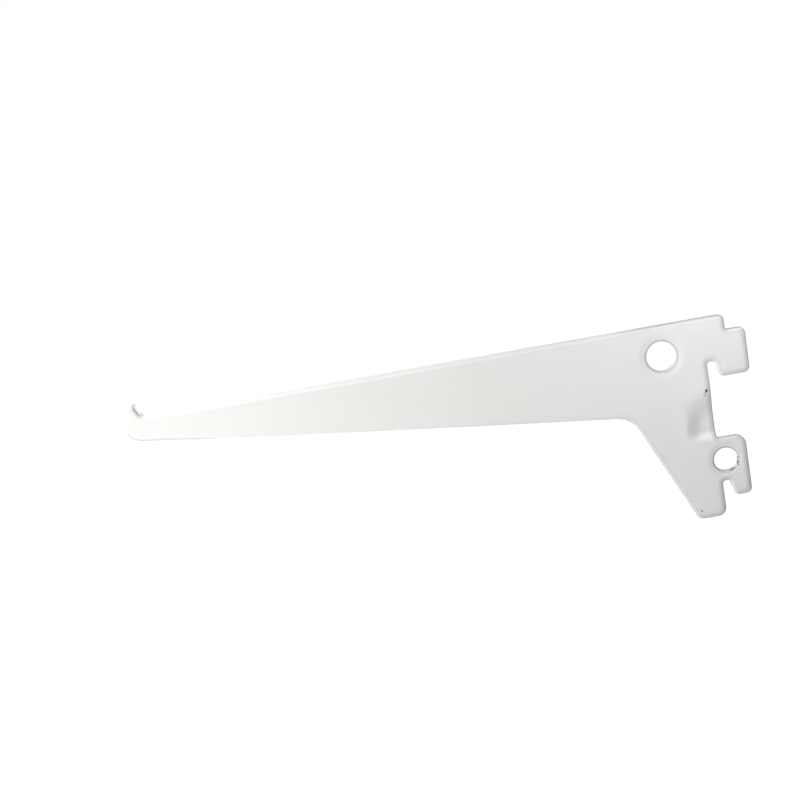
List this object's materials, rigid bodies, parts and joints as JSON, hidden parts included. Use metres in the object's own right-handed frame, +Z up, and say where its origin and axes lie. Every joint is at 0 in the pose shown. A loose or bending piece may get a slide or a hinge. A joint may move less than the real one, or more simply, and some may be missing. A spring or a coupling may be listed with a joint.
{
  "type": "slotted shelf bracket",
  "caption": "Folded-sheet shelf bracket with a tapering hollow arm, an upstanding lip at its tip and flat hooks for a slotted wall rail.",
  "frame": {"origin": "where the upper hook's seat meets the rail's front face, on the bracket's middle plane", "axes": "+X to the wall, so the arm runs along -X; +Z up; Y across the bracket"},
  "size_m": [0.2511, 0.008, 0.0883],
  "materials": {
    "white_powder_coat": "semi-gloss"
  },
  "bodies": {
    "root": {"bracket": "white_powder_coat"}
  },
  "joints": []
}
